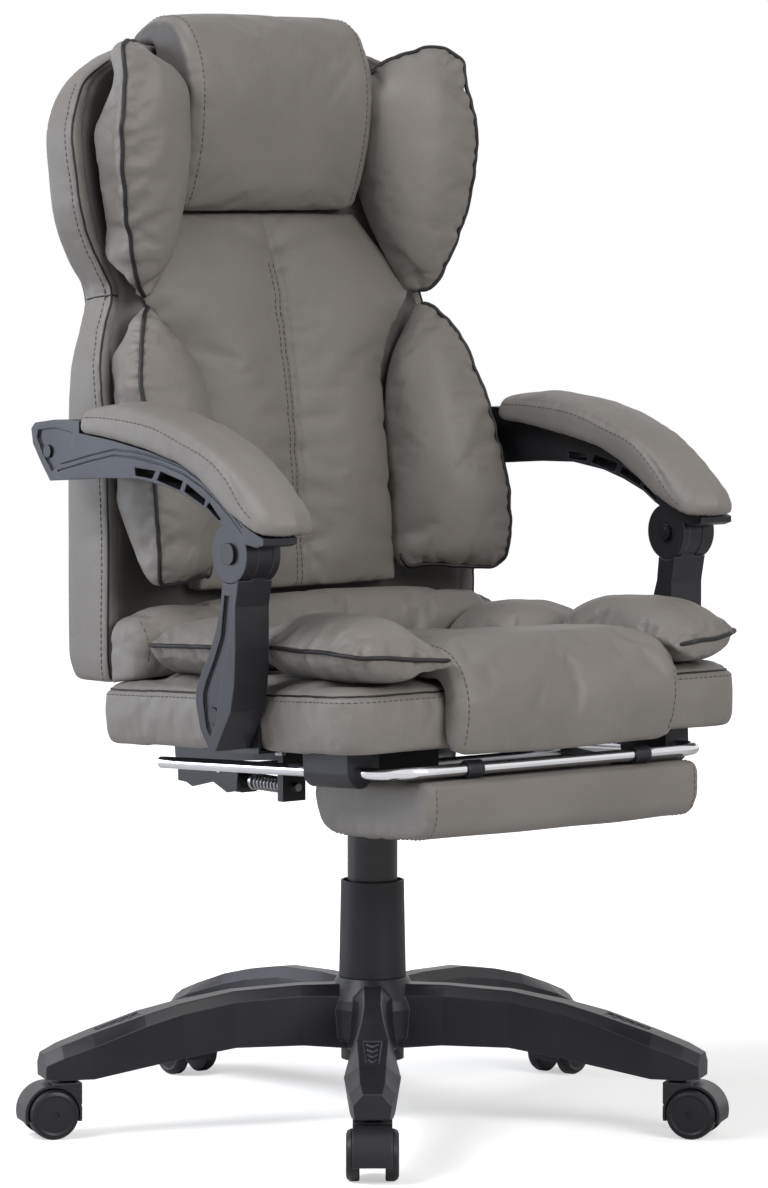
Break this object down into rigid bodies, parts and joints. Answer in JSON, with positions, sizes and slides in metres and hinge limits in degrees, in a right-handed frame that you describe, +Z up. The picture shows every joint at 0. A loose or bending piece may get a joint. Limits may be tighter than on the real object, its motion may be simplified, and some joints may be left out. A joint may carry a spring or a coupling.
{
  "type": "office chair with footrest",
  "caption": "Reclining high-back office chair with a piped cushioned seat and backrest, linked armrests, a slide-out footrest, a gas lift and a castor star base.",
  "frame": {"origin": "on the floor, under the middle of the whole chair's box; the gas column stands 3 mm to -X and 25 mm to -Y of it", "axes": "+Z up, +X to the sitter's left, -Y the way the sitter looks"},
  "size_m": [0.7114, 0.6866, 1.1197],
  "materials": {
    "upholstery": "satin, fine grain",
    "black_nylon": "fine matt texture",
    "castor_tread": "smooth",
    "black_steel": "satin black",
    "bright_steel": "zinc plated",
    "chrome_tube": "polished",
    "plywood": "raw",
    "bush_plastic": "smooth"
  },
  "bodies": {
    "base": {"star_base": "black_nylon", "column_cover": "black_nylon", "lift_base_tube": "black_steel", "lift_guide_bush": "bush_plastic", "castor_stems": "bright_steel"},
    "castor_1": {"castor_body_1": "black_nylon"},
    "castor_2": {"castor_body_2": "black_nylon"},
    "castor_3": {"castor_body_3": "black_nylon"},
    "castor_4": {"castor_body_4": "black_nylon"},
    "castor_5": {"castor_body_5": "black_nylon"},
    "wheels_1": {"castor_wheels_1": "castor_tread"},
    "wheels_2": {"castor_wheels_2": "castor_tread"},
    "wheels_3": {"castor_wheels_3": "castor_tread"},
    "wheels_4": {"castor_wheels_4": "castor_tread"},
    "wheels_5": {"castor_wheels_5": "castor_tread"},
    "lift_rod": {"piston_rod": "bright_steel", "thrust_bearing": "bright_steel"},
    "seat": {"gas_cylinder": "black_steel", "mechanism_housing": "black_steel", "recline_brackets": "black_steel", "pivot_bolts": "bright_steel", "lock_housing": "black_steel", "lock_spring": "bright_steel", "seat_bolts": "bright_steel", "arm_mounts": "black_steel", "footrest_guides": "black_nylon", "seat_board": "plywood", "seat_cushion": "upholstery", "seat_centre_pad": "upholstery", "seat_rear_roll": "upholstery", "front_bolster_left": "upholstery", "front_bolster_right": "upholstery", "rear_bolsters": "upholstery"},
    "release_pin": {"release_pin": "bright_steel"},
    "height_lever": {"height_lever_rod": "bright_steel", "height_lever_handle": "black_nylon"},
    "recline_lever": {"recline_lever_rod": "bright_steel", "recline_lever_handle": "black_nylon"},
    "lock_rod": {"lock_rod": "bright_steel"},
    "footrest_frame": {"footrest_frame": "chrome_tube"},
    "footrest_pad": {"footrest_pad": "upholstery", "footrest_clips": "black_nylon"},
    "backrest": {"back_board": "plywood", "back_shell": "upholstery", "back_centre_pad": "upholstery", "headrest": "upholstery", "wing_cushion_left": "upholstery", "wing_cushion_right": "upholstery", "lumbar_cushion_left": "upholstery", "lumbar_cushion_right": "upholstery", "back_brackets": "black_steel", "arm_anchors": "black_steel"},
    "strut_left": {"armrest_strut_left": "black_nylon"},
    "arm_left": {"armrest_rail_left": "black_nylon", "armrest_pad_left": "upholstery", "armrest_bolts_left": "bright_steel"},
    "strut_right": {"armrest_strut_right": "black_nylon"},
    "arm_right": {"armrest_rail_right": "black_nylon", "armrest_pad_right": "upholstery", "armrest_bolts_right": "bright_steel"}
  },
  "joints": [
    {"name": "seat_swivel", "type": "hinge", "parent": "base", "child": "lift_rod", "pos_m": [-0.00303, -0.02513, 0.15], "axis": [0, 0, 1], "continuous": true},
    {"name": "seat_height", "type": "slide", "parent": "lift_rod", "child": "seat", "axis": [0, 0, 1], "range_m": [-0.035, 0.065]},
    {"name": "castor_swivel_1", "type": "hinge", "parent": "base", "child": "castor_1", "pos_m": [-0.19925, -0.27791, 0.05], "axis": [0, 0, 1], "continuous": true},
    {"name": "castor_swivel_2", "type": "hinge", "parent": "base", "child": "castor_2", "pos_m": [0.17674, -0.28986, 0.05], "axis": [0, 0, 1], "continuous": true},
    {"name": "castor_swivel_3", "type": "hinge", "parent": "base", "child": "castor_3", "pos_m": [0.30429, 0.06404, 0.05], "axis": [0, 0, 1], "continuous": true},
    {"name": "castor_swivel_4", "type": "hinge", "parent": "base", "child": "castor_4", "pos_m": [0.00713, 0.29471, 0.05], "axis": [0, 0, 1], "continuous": true},
    {"name": "castor_swivel_5", "type": "hinge", "parent": "base", "child": "castor_5", "pos_m": [-0.30407, 0.08337, 0.05], "axis": [0, 0, 1], "continuous": true},
    {"name": "castor_roll_1", "type": "hinge", "parent": "castor_1", "child": "wheels_1", "pos_m": [-0.21059, -0.29252, 0.025], "axis": [0.7899, -0.6132, 0], "continuous": true},
    {"name": "castor_roll_2", "type": "hinge", "parent": "castor_2", "child": "wheels_2", "pos_m": [0.18714, -0.30516, 0.025], "axis": [0.8273, 0.5618, 0], "continuous": true},
    {"name": "castor_roll_3", "type": "hinge", "parent": "castor_3", "child": "wheels_3", "pos_m": [0.32206, 0.0692, 0.025], "axis": [-0.2787, 0.9604, 0], "continuous": true},
    {"name": "castor_roll_4", "type": "hinge", "parent": "castor_4", "child": "wheels_4", "pos_m": [0.00772, 0.3132, 0.025], "axis": [-0.9995, 0.0318, 0], "continuous": true},
    {"name": "castor_roll_5", "type": "hinge", "parent": "castor_5", "child": "wheels_5", "pos_m": [-0.32148, 0.08964, 0.025], "axis": [-0.3391, -0.9408, 0], "continuous": true},
    {"name": "recline", "type": "hinge", "parent": "seat", "child": "backrest", "pos_m": [-0.00303, 0.11487, 0.4], "axis": [-1, 0, 0], "range_deg": [0, 30]},
    {"name": "strut_left_swing", "type": "hinge", "parent": "seat", "child": "strut_left", "pos_m": [0.27147, -0.15413, 0.438], "axis": [-1, 0, 0], "range_deg": [0, 52]},
    {"name": "arm_left_swing", "type": "hinge", "parent": "strut_left", "child": "arm_left", "pos_m": [0.27147, -0.18313, 0.595], "axis": [-1, 0, 0], "range_deg": [-51, 0]},
    {"name": "strut_right_swing", "type": "hinge", "parent": "seat", "child": "strut_right", "pos_m": [-0.27753, -0.15413, 0.438], "axis": [-1, 0, 0], "range_deg": [0, 52]},
    {"name": "arm_right_swing", "type": "hinge", "parent": "strut_right", "child": "arm_right", "pos_m": [-0.27753, -0.18313, 0.595], "axis": [-1, 0, 0], "range_deg": [-51, 0]},
    {"name": "lock_rod_slide", "type": "slide", "parent": "seat", "child": "lock_rod", "axis": [0, -1, 0], "range_m": [0, 0.0255], "deforming": ["lock_spring"]},
    {"name": "height_lever_lift", "type": "hinge", "parent": "seat", "child": "height_lever", "pos_m": [-0.00303, -0.05513, 0.362], "axis": [-1, 0, 0], "range_deg": [0, 7], "stiffness_Nm_per_rad": 2, "springref_deg": -8.59},
    {"name": "release_pin_press", "type": "slide", "parent": "seat", "child": "release_pin", "axis": [0, 0, -1], "range_m": [0, 0.0045]},
    {"name": "recline_lever_lift", "type": "hinge", "parent": "seat", "child": "recline_lever", "pos_m": [-0.00303, 0.04687, 0.36], "axis": [-1, 0, 0], "range_deg": [0, 10], "stiffness_Nm_per_rad": 2, "springref_deg": -8.59},
    {"name": "footrest_slide", "type": "slide", "parent": "seat", "child": "footrest_frame", "axis": [0, -0.9986, 0.0523], "range_m": [0, 0.2]},
    {"name": "footrest_flip", "type": "hinge", "parent": "footrest_frame", "child": "footrest_pad", "pos_m": [-0.00303, -0.31578, 0.38921], "axis": [-1, 0, 0], "range_deg": [0, 180]}
  ],
  "couplings": [
    {"joint": "strut_left_swing", "follows": "recline", "ratio": 1.725},
    {"joint": "arm_left_swing", "follows": "recline", "ratio": -1.67},
    {"joint": "strut_right_swing", "follows": "recline", "ratio": 1.725},
    {"joint": "arm_right_swing", "follows": "recline", "ratio": -1.67},
    {"joint": "lock_rod_slide", "follows": "recline", "m_per_rad": 0.048},
    {"joint": "release_pin_press", "follows": "height_lever_lift", "m_per_rad": 0.034},
    {"joint": "footrest_flip", "follows": "footrest_slide", "rad_per_m": 15.7}
  ]
}
